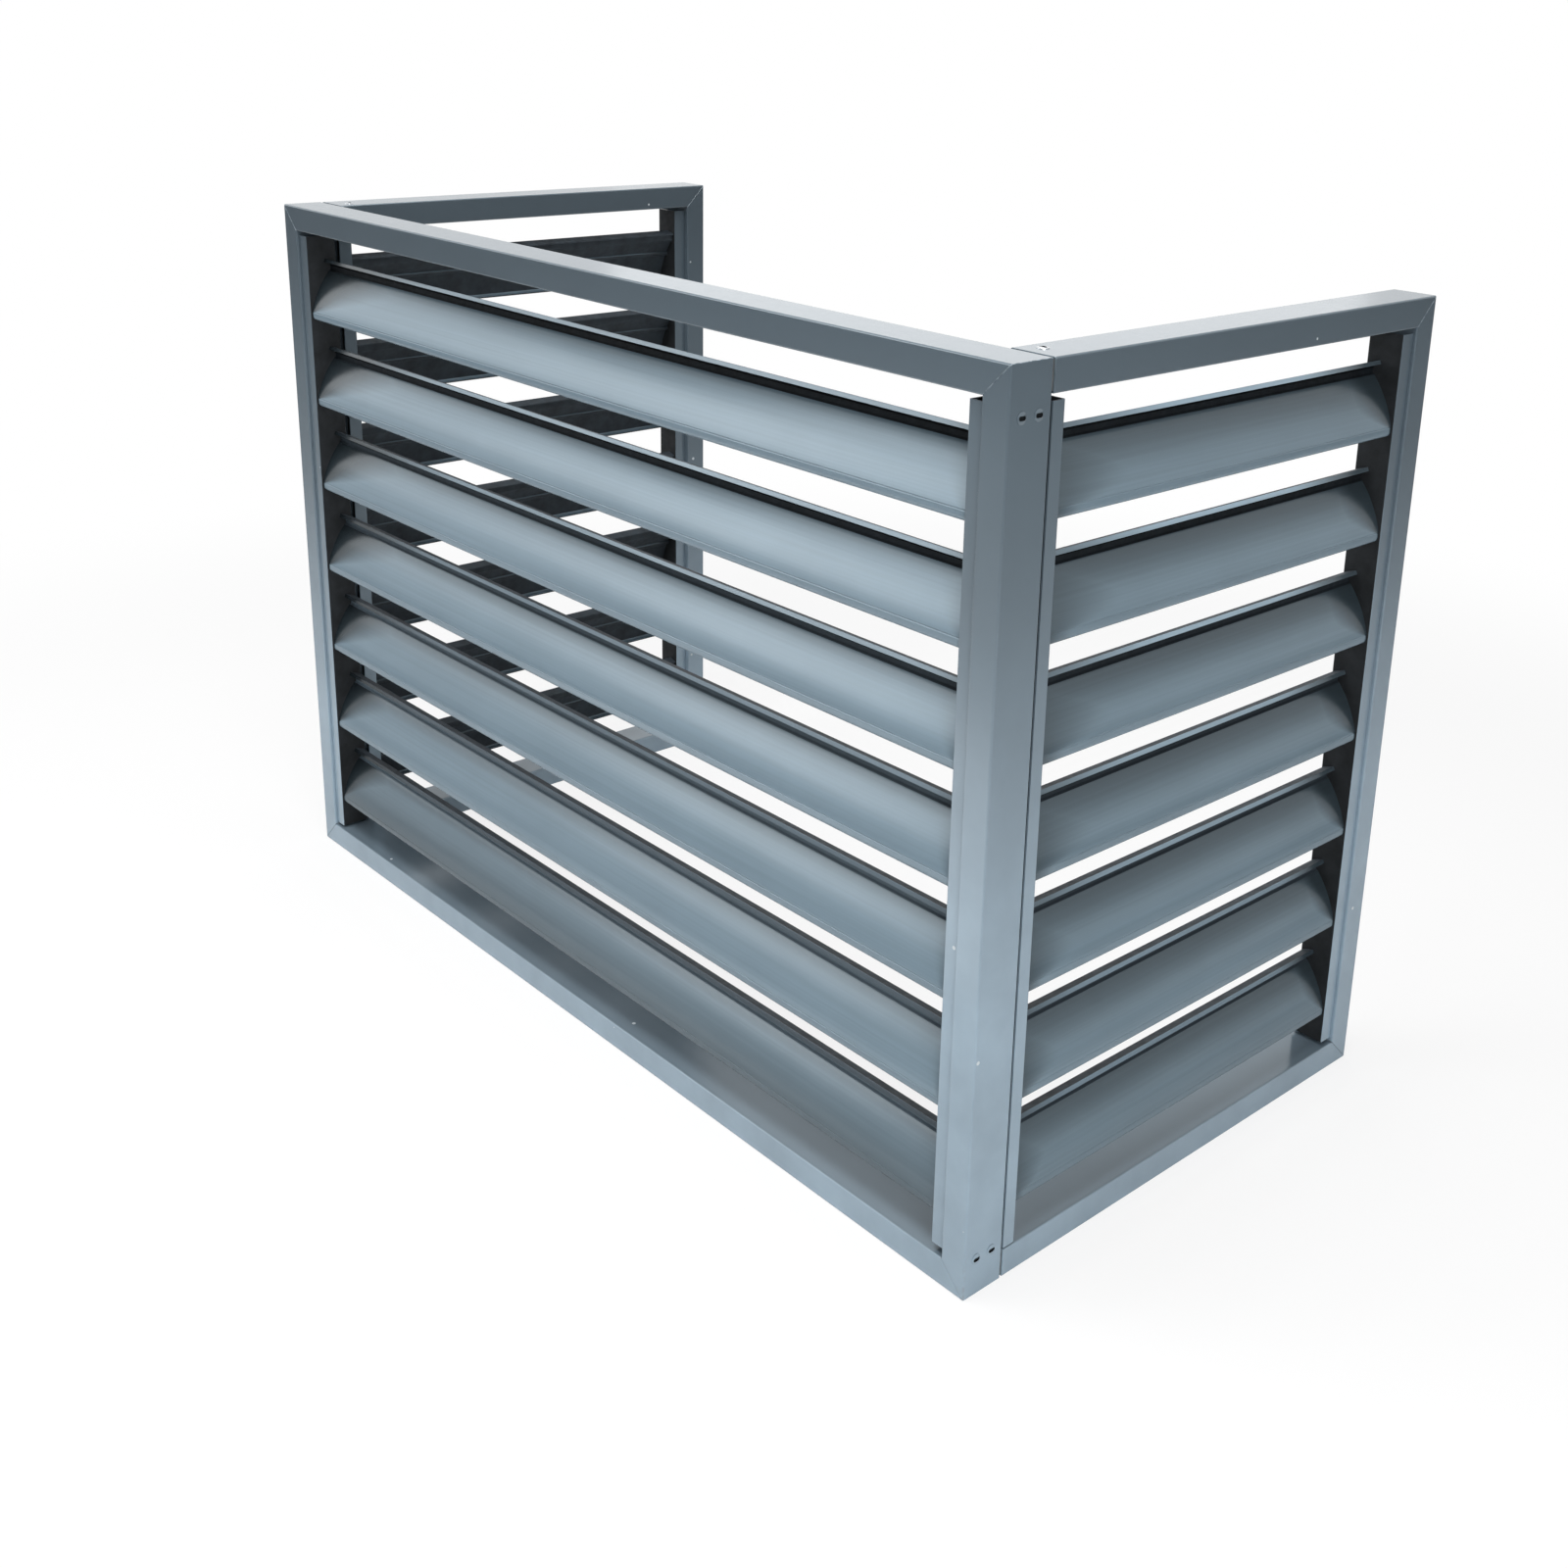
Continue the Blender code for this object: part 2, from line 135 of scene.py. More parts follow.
# Bare metal: middle roughness, grain's scale and detail, and the swing of the roughness
CAST, ZINC, METAL_SWING = (0.51, 260.0, 4), (0.31, 900.0, 4), 0.09

# Heights between which the low colour of a lip (painted shade) and of a groove's foot (painted
# light) fades into its high one
LIP_LOW, LIP_HIGH = 0.1, 0.62

# Painted shade on the frame high up: heights where it starts and is full, and its share
SHADE_LOW, SHADE_HIGH, SHADE_SHARE = 0.62, 0.82, 0.6

# Painted light from the floor ends lower and the painted shade starts lower towards the left, by
# this share of the distance from the right side; the painted light lies thinner on level faces
LEAN_OF_LIGHT_AND_SHADE, LEVEL_FLOOR_LIGHT = 0.13, 0.2

# Painted shade at both ends of a slat (left and right, or front and back), where the channels shade
# it and show darkly in it: strength, share of its reach where it is full, reach, and how it narrows
# downwards
END_SHADE = {
    "x": ((0.97, 0.2, 0.19, 0.9), (0.3, 0.0, 0.04, 0.5)),
    "y": ((0.7, 0.0, 0.13, 0.3), (0.85, 0.2, 0.09, 0.75)),
}

# Its reach at the nose before it narrows, as a share, and how far it widens over the crown
LEAST_RISE, CROWN_SHADE = 0.01, 1.3

# It reaches in less far on the lower slats: by this share at the first height, fully at the
# second one
LOW_REACH, REACH_LOW, REACH_HIGH = 0.55, 0.1, 0.5

# Painted shade under the groove of a slat: strength and reach
UNDER_GROOVE_SHADE = {"x": (0.4, 0.010), "y": (0.65, 0.030)}

# Painted shade on the slats near the ground: strength, the height up to which it is full, and the
# one where it ends
LOW_SLAT_SHADE = {"x": (0.6, 0.062, 0.105), "y": (0.15, 0.062, 0.105)}

# Faces round the tubes', channels', section's and slot's edges, over the blade, round the nose
# and the rib, round a screw's head and over its dome
TUBE_STEPS, CHANNEL_STEPS, EDGE_STEPS, SLOT_STEPS = 5, 3, 3, 4
BLADE_STEPS, ROUND_STEPS, HEAD_SIDES, DOME_STEPS = 14, 7, 32, 6

# Round end of a screw's slot, as a share of its width
SLOT_END = 0.49

FLOOR_SIZE, FLOOR_ROUGHNESS = 30, 0.9


def round_about(bearing, distance, height):
    """A place on a circle round the screen; the bearing is in degrees from +X."""
    turn = math.radians(bearing)
    return distance * math.cos(turn), distance * math.sin(turn), height


# Softboxes: place, the point that each looks at, size, and power in watts
MIDDLE = (0, 0, 0.35)
SOFTBOXES = {
    "top": ((0, 0, 3), MIDDLE, (2.4, 2.4), 58),
    "front": ((0.1, -0.8, 2.2), MIDDLE, (1.2, 0.8), 24),
    "key": (round_about(-128, 2.3, 1.5), MIDDLE, (0.9, 1.5), 12),
    "left": (round_about(-150, 2.3, 1.15), MIDDLE, (0.9, 0.7), 2),
    "near": (round_about(-128, 1.5, 1.0), MIDDLE, (0.9, 0.5), 1.5),
    "fill": (round_about(-25, 2.3, 1.0), MIDDLE, (1.2, 1.0), 26),
    "low": ((-0.15, -0.8, 0.01), (-0.15, -0.8, 1), (1.2, 0.5), 1.5),
    "back": (round_about(130, 2.6, 1.35), MIDDLE, (1.8, 0.7), 2),
}


def metres(label, text, default):
    """A size in metres."""
    return FloatProperty(name=label, description=text, default=default, unit="LENGTH")


def factor(label, text, default):
    """A share or a level."""
    return FloatProperty(name=label, description=text, default=default, subtype="FACTOR")


def paint(label, text, default):
    """A linear colour."""
    return FloatVectorProperty(name=label, description=text, default=default, subtype="COLOR")


class TubeSizes(bpy.types.PropertyGroup):
    """Sizes of the frame tubes."""
    wall: metres("Wall", "Thickness of the tube", 0.0015)
    corner_radius: metres("Corner radius", "Round of the long edges", 0.0014)
    mitre_gap: metres("Mitre gap", "Gap between two mitred ends", 0.00012)
    butt_gap: metres("Butt gap", "Gap where a side panel's rails meet the front panel", 0.0015)
    rim_chamfer: metres("Rim chamfer", "Deburred edge of a cut end", 0.00035)


class ChannelSizes(bpy.types.PropertyGroup):
    """Sizes of the upright channels."""
    wall: metres("Wall", "Thickness of the channel", 0.0015)
    corner_radius: metres("Corner radius", "Round of the two long edges", 0.0011)
    foot_gap: metres("Foot gap", "Gap over the bottom rail", 0.0022)


class SlatSizes(bpy.types.PropertyGroup):
    """Sizes of the extruded slat, measured from the panel's outer face and its nose line."""
    setback: metres("Setback", "Depth of the nose line", 0.005)
    rise: metres("Rise", "Height of the crown", 0.0526)
    wall: metres("Wall", "Thickness of the blade", 0.0016)
    bulge: metres("Bulge", "How far the blade bows out", 0.0025)
    crown_front: metres("Crown front", "Depth of the crown's lip", 0.0203)
    crown_depth: metres("Crown depth", "Front to back size of the crown", 0.0115)
    crown_fall: metres("Crown fall", "How far the crown slopes down backwards", 0.0036)
    crown_lip: metres("Crown lip", "Height of the lip's face", 0.0034)
    lip_lean: metres("Lip lean", "How far the lip's face leans back", 0.0014)
    groove_depth: metres("Groove depth", "Depth of the groove under the lip", 0.0072)
    blade_top_depth: metres("Blade top depth", "Depth of the blade's upper edge", 0.0255)
    blade_top: metres("Blade top", "Height of the blade's upper edge", 0.0402)
    shoulder: metres("Shoulder", "Rise from the blade to the groove's back", 0.0012)
    bead: metres("Bead", "Small rib half way up the groove's back", 0.0005)
    nose_drop: metres("Nose drop", "Height of the lip under the nose line", 0.008)
    nose_radius: metres("Nose radius", "Round of the lip", 0.004)
    nose_return: metres("Nose return", "Length of the lip's underside", 0.003)
    nose_line: metres(
        "Nose line", "Depth and half height of the fine groove above the nose", 0.0006)
    port_radius: metres("Screw port radius", "Rib that takes the end screws", 0.0028)
    port_share: factor("Screw port place", "Place of the rib, from the nose to the top", 0.62)
    edge_radius: metres("Edge radius", "Round of the section's corners", 0.00035)


class ScrewSizes(bpy.types.PropertyGroup):
    """Sizes of the pan-head screws."""
    head_radius: metres("Head radius", "Radius of the head", 0.0044)
    head_rim: metres("Head rim", "Height of the head's upright rim", 0.0004)
    head_height: metres("Head height", "How far the head stands out", 0.0012)
    slot_length: metres("Slot length", "Length of the slot", 0.0074)
    slot_width: metres("Slot width", "Width of the slot", 0.0036)
    slot_depth: metres("Slot depth", "Depth of the slot", 0.001)
    slot_taper: factor("Slot taper", "Size of the slot's floor against its mouth", 0.8)


class Finishes(bpy.types.PropertyGroup):
    """Colours and gloss of the finishes."""
    frame_colour: paint("Frame colour", "Powder coat of the tubes", (0.094, 0.124, 0.149))
    # The slats' coat is the frame's paint made lighter, as painted light
    lit_slat_colour: paint("Slat colour", "Powder coat of the slats", (0.144, 0.202, 0.245))
    # Lips: painted highlight high up, fading to painted shade low down; the side lips lighter than
    # the front ones, as painted light
    front_lip_light_colour: paint(
        "Front lip colour", "Coat on the front slats' lips, high up", (0.22, 0.30, 0.36))
    front_low_lip_shade_colour: paint(
        "Low front lip colour", "Coat on the front slats' lips, low down", (0.05, 0.068, 0.085))
    side_lip_light_colour: paint(
        "Side lip colour", "Coat on the side slats' lips, high up", (0.36, 0.48, 0.57))
    side_low_lip_shade_colour: paint(
        "Low side lip colour", "Coat on the side slats' lips, low down", (0.16, 0.22, 0.27))
    channel_colour: paint("Channel colour", "Powder coat of the channels", (0.098, 0.129, 0.155))
    # Painted shade on the channels' webs, deep in their recess
    web_shade_colour: paint("Web colour", "Thin coat on the channels' webs", (0.014, 0.016, 0.018))
    # Painted shade on the slats' inner side and on the crowns' tops
    back_shade_colour: paint(
        "Slat back colour", "Thin coat on the slats' inner side", (0.024, 0.032, 0.040))
    # Painted shade in the grooves and slots and on the grooves' feet; the feet are lighter low
    # down, as painted light
    deep_shade_colour: paint(
        "Groove colour", "Dark inside of the slats' grooves", (0.003, 0.004, 0.005))
    groove_foot_colour: paint(
        "Groove foot colour", "Lower part of the grooves' back", (0.005, 0.007, 0.009))
    front_low_groove_light_colour: paint(
        "Low front groove colour", "Feet of the front slats' grooves, low down",
        (0.105, 0.142, 0.172))
    side_low_groove_light_colour: paint(
        "Low side groove colour", "Feet of the side slats' grooves, low down", (0.03, 0.04, 0.05))
    # Pale painted light from the floor on the frame's upright faces low down, in cloudy patches
    floor_light_colour: paint("Dust colour", "Pale dust towards the ground", (0.296, 0.390, 0.469))
    # Painted shade: the frame's coat made darker high up
    painted_shade_colour: paint("Shade colour", "Darker coat of the frame high up", (0.050, 0.066, 0.080))
    # Painted shade on the slats: at their ends by the channels, under their grooves and near the
    # ground
    slat_shade_colour: paint("Dirt colour", "Dark dirt on the slats", (0.010, 0.015, 0.018))
    chip_colour: paint("Chip colour", "Small chips in the coat", (0.52, 0.57, 0.60))
    # Worn coat; on the mitres' chamfers it is also a painted highlight
    worn_colour: paint("Worn edge colour", "Thin coat over a cut edge", (0.24, 0.29, 0.33))
    cast_colour: paint("Cast colour", "Bare cast aluminium of the keys", (0.42, 0.42, 0.41))
    zinc_colour: paint("Zinc colour", "Zinc plate of the connectors' screws", (0.62, 0.64, 0.66))
    # Share, full height and top height of the frame's painted floor light
    floor_light_share: factor("Dust share", "How much dust covers the coat at the ground", 0.8)
    floor_light_full: metres("Dust full", "Height up to which the dust is full", 0.2)
    floor_light_top: metres("Dust top", "Height at which the dust ends", 0.6)
    frame_gloss: factor("Frame gloss", "Specular level of the tubes' coat", 0.86)
    slat_gloss: factor("Slat gloss", "Specular level of the slats' coat", 0.56)
    frame_roughness: factor("Frame roughness", "Roughness of the tubes' coat", 0.17)
    slat_roughness: factor("Slat roughness", "Roughness of the slats' coat", 0.22)


class Studio(bpy.types.PropertyGroup):
    """Camera, room and floor."""
    lens: FloatProperty(
        name="Lens", description="Focal length in millimetres", default=41.327, unit="CAMERA")
    camera_place: FloatVectorProperty(
        name="Camera place", description="Where the camera stands", subtype="TRANSLATION",
        default=(1.2473, -1.0663, 0.9131))
    camera_turn: FloatVectorProperty(
        name="Camera turn", description="Rotation of the camera", subtype="EULER",
        default=(math.radians(72.591), math.radians(-1.681), math.radians(47.090)))
    shift: FloatVectorProperty(
        name="Shift", description="Lens shift, in widths of the picture", size=2,
        default=(-0.06, -0.14))
    sky_level: factor("Sky level", "Level of the room's even light", 0.02)
    floor_mirrored: factor("Floor in reflections", "How white the floor shows in a reflection", 0.1)
    floor_colour: paint("Floor colour", "Colour of the floor", (0.86, 0.86, 0.86))
    floor_whiteness: factor(
        "Floor whiteness", "How far the shadow beside the screen is lifted", 0.8)
    white_from: metres("White from", "Distance at which the floor is plain white", 1.9)


def panel_matrix(panel):
    """From a panel's own frame to the model's."""
    x = CAD_HIGH.x if panel == "right" else CAD_LOW.x
    y = CAD_HIGH.y if panel == "left" else CAD_LOW.y
    turn = {"front": 0, "right": math.pi / 2, "left": -math.pi / 2}[panel]
    return Matrix.Translation((x, y, 0)) @ Matrix.Rotation(turn, 4, "Z")


def panel_box(panel, *nodes):
    """Lowest and highest corner of some CAD nodes, in their panel's frame."""
    to_panel = panel_matrix(panel).inverted()
    corners = [to_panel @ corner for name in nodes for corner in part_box(name)]
    return [Vector([pick(values) for values in zip(*corners)]) for pick in (min, max)]


def all_geometry(shape):
    """Every vertex, edge and face, as the bmesh operators take them."""
    return [*shape.verts, *shape.edges, *shape.faces]


def only_verts(geometry):
    """The vertices among what an operator made."""
    return [item for item in geometry if isinstance(item, bmesh.types.BMVert)]


def bevelled(shape, geometry, offset, steps, affect="EDGES", material=-1):
    """Rounds or chamfers edges or corners, and gives the new faces."""
    made = bmesh.ops.bevel(
        shape, geom=geometry, offset=offset, offset_type="OFFSET", segments=steps, profile=0.5,
        affect=affect, material=material)
    return made["faces"]


def object_of(name, shape, materials):
    """Turns a bmesh into an object in the scene."""
    mesh = bpy.data.meshes.new(name)
    shape.to_mesh(mesh)
    shape.free()
    for material in materials:
        mesh.materials.append(material)
    made = bpy.data.objects.new(name, mesh)
    bpy.context.scene.collection.objects.link(made)
    return made


def finish_piece(name, shape, matrix, materials, slot, *nodes):
    """Makes a piece that stands for CAD nodes and rides on the body."""
    bmesh.ops.transform(shape, matrix=matrix, verts=shape.verts)
    bmesh.ops.recalc_face_normals(shape, faces=shape.faces)
    piece = object_of(name, shape, materials)
    piece.data.shade_smooth()
    piece.data.set_sharp_from_angle(angle=SMOOTH_ANGLE)
    even = piece.modifiers.new("even_normals", "WEIGHTED_NORMAL")
    even.keep_sharp = True
    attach(piece, BODY)
    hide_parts(*nodes)


def feed(socket, value):
    """Gives an input its value, or a link where the value is a node's output."""
    if isinstance(value, bpy.types.NodeSocket):
        socket.id_data.links.new(value, socket)
    else:
        socket.default_value = value


def fill(made, **sockets):
    """Feeds a node's inputs, which are named with _ for a space."""
    for name, value in sockets.items():
        feed(made.inputs[name.replace("_", " ")], value)
    return made


def node(kind, source, **sockets):
    """Adds a shader node to the tree that an output is in, and feeds its inputs."""
    return fill(source.id_data.nodes.new("ShaderNode" + kind), **sockets)


def coordinates(vector):
    """The X, Y and Z of a vector."""
    return node("SeparateXYZ", vector, Vector=vector).outputs


def noise(place, scale, detail):
    """Noise of a scale per metre at a place."""
    return node("TexNoise", place, Vector=place, Scale=scale, Detail=detail).outputs["Fac"]


def maths(operation, first, second):
    """Joins two values by an operation; the second may be a plain number."""
    made = node("Math", first)
    made.operation = operation
    feed(made.inputs[0], first)
    feed(made.inputs[1], second)
    return made.outputs["Value"]


def product(first, *others):
    """Multiplies values; all but the first may be plain numbers."""
    for other in others:
        first = maths("MULTIPLY", first, other)
    return first


def mapped(value, low, high, first, last, easing="LINEAR"):
    """Goes from one level to another while a value goes from low to high."""
    made = node(
        "MapRange", value, Value=value, From_Min=low, From_Max=high, To_Min=first, To_Max=last)
    made.interpolation_type = easing
    return made.outputs["Result"]


def between(value, low, high, first, last):
    """Like mapped, with a smooth start and end."""
    return mapped(value, low, high, first, last, "SMOOTHSTEP")


def varied(value, middle, swing):
    """Maps the middle of a noise value on to a swing about a middle value."""
    return mapped(value, NOISE_LOW, NOISE_HIGH, middle - swing, middle + swing)


def patterned(place, pattern, middle):
    """A value that swings about its middle in one of the patterns."""
    scale, detail, swing = pattern
    return varied(noise(place, scale, detail), middle, swing)


def fading_up(place, full, top, share):
    """A share that is full up to one height and fades to none at another."""
    return between(coordinates(place)["Z"], full, top, share, 0)


def drawn_out(place, direction):
    """Places squeezed along a slat, so that a pattern draws out into lengthwise lines."""
    made = node("Mapping", place, Vector=place)
    made.inputs["Scale"].default_value = [
        LINE_SQUEEZE if axis == direction else 1 for axis in "xyz"]
    return made.outputs["Vector"]


def laid_over(share, base, colour):
    """A plain colour laid over a base where the share is 1."""
    blend = node("Mix", base)
    blend.data_type = "RGBA"
    return fill(blend, Factor=share, A=base, B=(*colour, 1)).outputs["Result"]


def tinted(place, colour, level, low_colour):
    """A colour, brighter and darker by a level, and another one low down where it is given: painted
    shade on the lips, painted light on the groove feet.
    """
    coat = node("HueSaturation", place, Color=(*colour, 1), Value=level).outputs["Color"]
    if low_colour:
        coat = laid_over(fading_up(place, LIP_LOW, LIP_HIGH, 1), coat, low_colour)
    return coat


def bumped(height, strength, depth):
    """The normal over small bumps."""
    made = node("Bump", height, Height=height, Strength=strength, Distance=depth)
    return made.outputs["Normal"]


def chipped(place, base, chip_colour, density):
    """The base with small pale chips, where the surface cuts through scattered balls."""
    balls = node("TexVoronoi", place, Vector=place, Scale=density)
    radius = varied(balls.outputs["Color"], 0, CHIP_RADIUS * density)
    chip = maths("LESS_THAN", balls.outputs["Distance"], radius)
    return laid_over(chip, base, chip_colour)


def painted_slat_shade(place, direction):
    """Painted shade on a slat: at its ends, reaching further in higher up, under its groove and low
    down.
    """
    sizes = bpy.context.scene.louvre_slats
    spot = node("Attribute", place)
    spot.attribute_name = "slat_place"
    from_first, from_last, height = coordinates(spot.outputs["Vector"])
    blade_top, lip_bottom = sizes.blade_top, sizes.rise - sizes.crown_lip
    rise = mapped(height, 0, blade_top, LEAST_RISE, 1)
    widening = product(
        between(height, blade_top, lip_bottom, 1, CROWN_SHADE),
        between(coordinates(place)["Z"], REACH_LOW, REACH_HIGH, LOW_REACH, 1))
    strength, reach = UNDER_GROOVE_SHADE[direction]
    under_groove = product(
        between(height, blade_top - reach, blade_top, 0, strength),
        between(height, blade_top, lip_bottom, 1, 0))
    strength, full, top = LOW_SLAT_SHADE[direction]
    shading = maths("MAXIMUM", under_groove, fading_up(place, full, top, strength))
    for end, distance in zip(END_SHADE[direction], (from_first, from_last)):
        strength, full, reach, narrowing = end
        span = product(maths("POWER", rise, narrowing), widening, reach)
        share = maths("DIVIDE", distance, span)
        shading = maths("MAXIMUM", shading, between(share, full, 1, strength, 0))
    return shading


def upright(place, level_share):
    """1 on an upright face and a share on a level one."""
    up = coordinates(node("TexCoord", place).outputs["Normal"])["Z"]
    return mapped(product(up, up), 0, 1, 1, level_share)


def lit_low_and_shaded_high(place, base, looks):
    """The base with painted shade high up and pale painted light from the floor low down, mostly on
    upright faces.
    """
    across, _, up = coordinates(place)
    fall = product(across, -LEAN_OF_LIGHT_AND_SHADE)
    height = maths("ADD", maths("ADD", fall, up), LEAN_OF_LIGHT_AND_SHADE / 2)
    shade = between(height, SHADE_LOW, SHADE_HIGH, 0, SHADE_SHARE)
    coat = laid_over(product(shade, upright(place, 0)), base, looks.painted_shade_colour)
    floor_light = between(height, looks.floor_light_full, looks.floor_light_top, looks.floor_light_share, 0)
    clouds = patterned(place, CLOUDS, 1)
    floor_light = product(floor_light, clouds, upright(place, LEVEL_FLOOR_LIGHT))
    return laid_over(floor_light, coat, looks.floor_light_colour)


def worn(place, base, worn_colour, top):
    """The base worn through in patches, up to a height."""
    patch = mapped(noise(place, *WEAR), WEAR_FROM, WEAR_FULL, 0, 1)
    wear = product(patch, fading_up(place, 0, top, 1))
    return laid_over(wear, base, worn_colour)


def new_material(name):
    """An empty material, its shader and the place on the piece."""
    material = bpy.data.materials.new(name)
    material.use_nodes = True
    tree = material.node_tree
    place = tree.nodes.new("ShaderNodeTexCoord").outputs["Object"]
    return material, tree.nodes["Principled BSDF"], place


def powder_coat(
        name, colour, roughness, gloss_level, chips, direction=None, worn_to=None, low_colour=None):
    """Satin powder coat with fine orange peel, chips, and either draw lines with painted shade on
    the slats or painted light and shade on the frame, and wear.
    """
    looks = bpy.context.scene.louvre_finishes
    material, shader, place = new_material(name)
    tone = patterned(place, TONE, 1)
    gloss = patterned(place, GLOSS, roughness)
    if direction:
        lines = noise(drawn_out(place, direction), *LINES)
        tone = product(tone, varied(lines, 1, LINE_TONE))
        gloss = maths("ADD", gloss, varied(lines, 0, LINE_GLOSS))
    coat = tinted(place, colour, tone, low_colour)
    chip_colour = Vector(looks.chip_colour)
    if direction:
        chip_colour = Vector(colour).lerp(chip_colour, SLAT_CHIP_SHARE)
        # Painted shade at the slat's ends, under its groove and low down
        coat = laid_over(painted_slat_shade(place, direction), coat, looks.slat_shade_colour)
    else:
        # Painted light from the floor low down and painted shade high up
        coat = lit_low_and_shaded_high(place, coat, looks)
    if worn_to:
        coat = worn(place, coat, looks.worn_colour, worn_to)
    peel = bumped(noise(place, *PEEL), PEEL_STRENGTH, PEEL_DEPTH)
    fill(
        shader, Base_Color=chipped(place, coat, chip_colour, chips), Roughness=gloss,
        Normal=peel, IOR=COAT_IOR, Specular_IOR_Level=gloss_level, Specular_Tint=COAT_TINT)
    return material


def painted_shade_coat(name, colour, gloss_level, low_colour=None):
    """Dull coat of painted shade for grooves, webs, slots and inner sides, with another colour low
    down where given.
    """
    material, shader, place = new_material(name)
    coat = tinted(place, colour, patterned(place, BLOTCHES, 1), low_colour)
    fill(
        shader, Base_Color=coat, Roughness=patterned(place, DULLNESS, SHADE_ROUGHNESS),
        Specular_IOR_Level=gloss_level)
    return material


def bare_metal(name, colour, roughness, scale, detail):
    """Unpainted metal with a mottled gloss."""
    material, shader, place = new_material(name)
    grain = noise(place, scale, detail)
    fill(
        shader, Base_Color=(*colour, 1), Metallic=1,
        Roughness=varied(grain, roughness, METAL_SWING),
        Normal=bumped(grain, DENT_STRENGTH, DENT_DEPTH))
    return material


def finish(name):
    """The material of that name, made when it is first asked for."""
    if name in bpy.data.materials:
        return bpy.data.materials[name]
    looks = bpy.context.scene.louvre_finishes
    tube = (looks.frame_roughness, looks.frame_gloss, FRAME_CHIPS)
    channel = (looks.frame_roughness, looks.frame_gloss, CHANNEL_CHIPS)
    slat = (looks.slat_roughness, looks.slat_gloss, SLAT_CHIPS)
    makers = {
        "frame_coat": (powder_coat, looks.frame_colour, *tube),
        "worn_edge": (powder_coat, looks.frame_colour, *tube, None, WORN_ALL),
        "rubbed_corner": (powder_coat, looks.frame_colour, *tube, None, WORN_FOOT),
        "channel_coat": (powder_coat, looks.channel_colour, *channel),
        "slat_coat_x": (powder_coat, looks.lit_slat_colour, *slat, "x"),
        "slat_coat_y": (powder_coat, looks.lit_slat_colour, *slat, "y"),
        "lip_coat_x": (
            powder_coat, looks.front_lip_light_colour, *slat, "x", None, looks.front_low_lip_shade_colour),
        "lip_coat_y": (
            powder_coat, looks.side_lip_light_colour, *slat, "y", None, looks.side_low_lip_shade_colour),
        "slat_back": (painted_shade_coat, looks.back_shade_colour, BACK_GLOSS),
        "web_coat": (painted_shade_coat, looks.web_shade_colour, WEB_GLOSS),
        "groove_shade": (painted_shade_coat, looks.deep_shade_colour, GROOVE_GLOSS),
        "groove_foot_x": (
            painted_shade_coat, looks.groove_foot_colour, FOOT_GLOSS, looks.front_low_groove_light_colour),
        "groove_foot_y": (
            painted_shade_coat, looks.groove_foot_colour, FOOT_GLOSS, looks.side_low_groove_light_colour),
        "slot_shade": (painted_shade_coat, looks.deep_shade_colour, FOOT_GLOSS),
        "cast_metal": (bare_metal, looks.cast_colour, *CAST),
        "zinc_plate": (bare_metal, looks.zinc_colour, *ZINC),
    }
    maker, *values = makers[name]
    return maker(name, *values)


def block(*size):
    """A block of a size about the origin."""
    shape = bmesh.new()
    bmesh.ops.create_cube(shape, size=1)
    bmesh.ops.scale(shape, vec=size, verts=shape.verts)
    return shape


def edges_along(shape, axis, least):
    """The edges that reach further than a length along an axis."""
    ends = ((edge, *edge.verts) for edge in shape.edges)
    return [edge for edge, first, last in ends if abs((first.co - last.co)[axis]) > least]


def tube_blank(length, depth, face, sizes):
    """An open-ended tube along X, with its outer edge on Z = 0, before its ends are cut."""
    shape = block(length, depth, face)
    bmesh.ops.translate(shape, vec=(length / 2, depth / 2, -face / 2), verts=shape.verts)
    ends = [skin for skin in shape.faces if abs(skin.normal.x) > abs(skin.normal.y + skin.normal.z)]
    bmesh.ops.delete(shape, geom=ends, context="FACES_ONLY")
    long_edges = edges_along(shape, 0, length / 2)
    for skin in bevelled(shape, long_edges, sizes.corner_radius, TUBE_STEPS):
        skin.material_index = CORNER
    return shape


def cut_mitre(shape, place, outwards, gap):
    """Cuts a tube's end at 45 degrees, half the gap inside the corner's plane."""
    bmesh.ops.bisect_plane(
        shape, geom=all_geometry(shape), plane_co=(place - outwards * gap / 2, 0, 0),
        plane_no=(outwards, 0, -1), clear_outer=True)


def edge_key(edge):
    """An edge's ends in whole hundredths of a millimetre, to find it again."""
    return frozenset(tuple(round(value / SAME_PLACE) for value in end.co) for end in edge.verts)


def frame_tube(length, depth, face, mitres, sizes):
    """A hollow tube with chamfered ends, mitred where asked."""
    shape = tube_blank(length, depth, face, sizes)
    for place, outwards, mitred in ((0, -1, mitres[0]), (length, 1, mitres[1])):
        if mitred:
            cut_mitre(shape, place, outwards, sizes.mitre_gap)
    rims = {edge_key(edge) for edge in shape.edges if edge.is_boundary}
    bmesh.ops.recalc_face_normals(shape, faces=shape.faces)
    bmesh.ops.solidify(shape, geom=shape.faces[:], thickness=sizes.wall)
    square = [place for place, mitred in zip((0, length), mitres) if not mitred]
    chamfer_rims(shape, rims, square, sizes.rim_chamfer)
    return shape


def chamfer_rims(shape, rims, square, width):
    """Chamfers the outer edges of a tube's cut ends, worn and lighter as a painted highlight where
    they aren't square.
    """
    outer = [edge for edge in shape.edges if edge_key(edge) in rims]
    for skin in bevelled(shape, outer, width, 1, material=WORN_LIT):
        middle = skin.calc_center_median().x
        if any(abs(middle - place) < width for place in square):
            skin.material_index = PLAIN


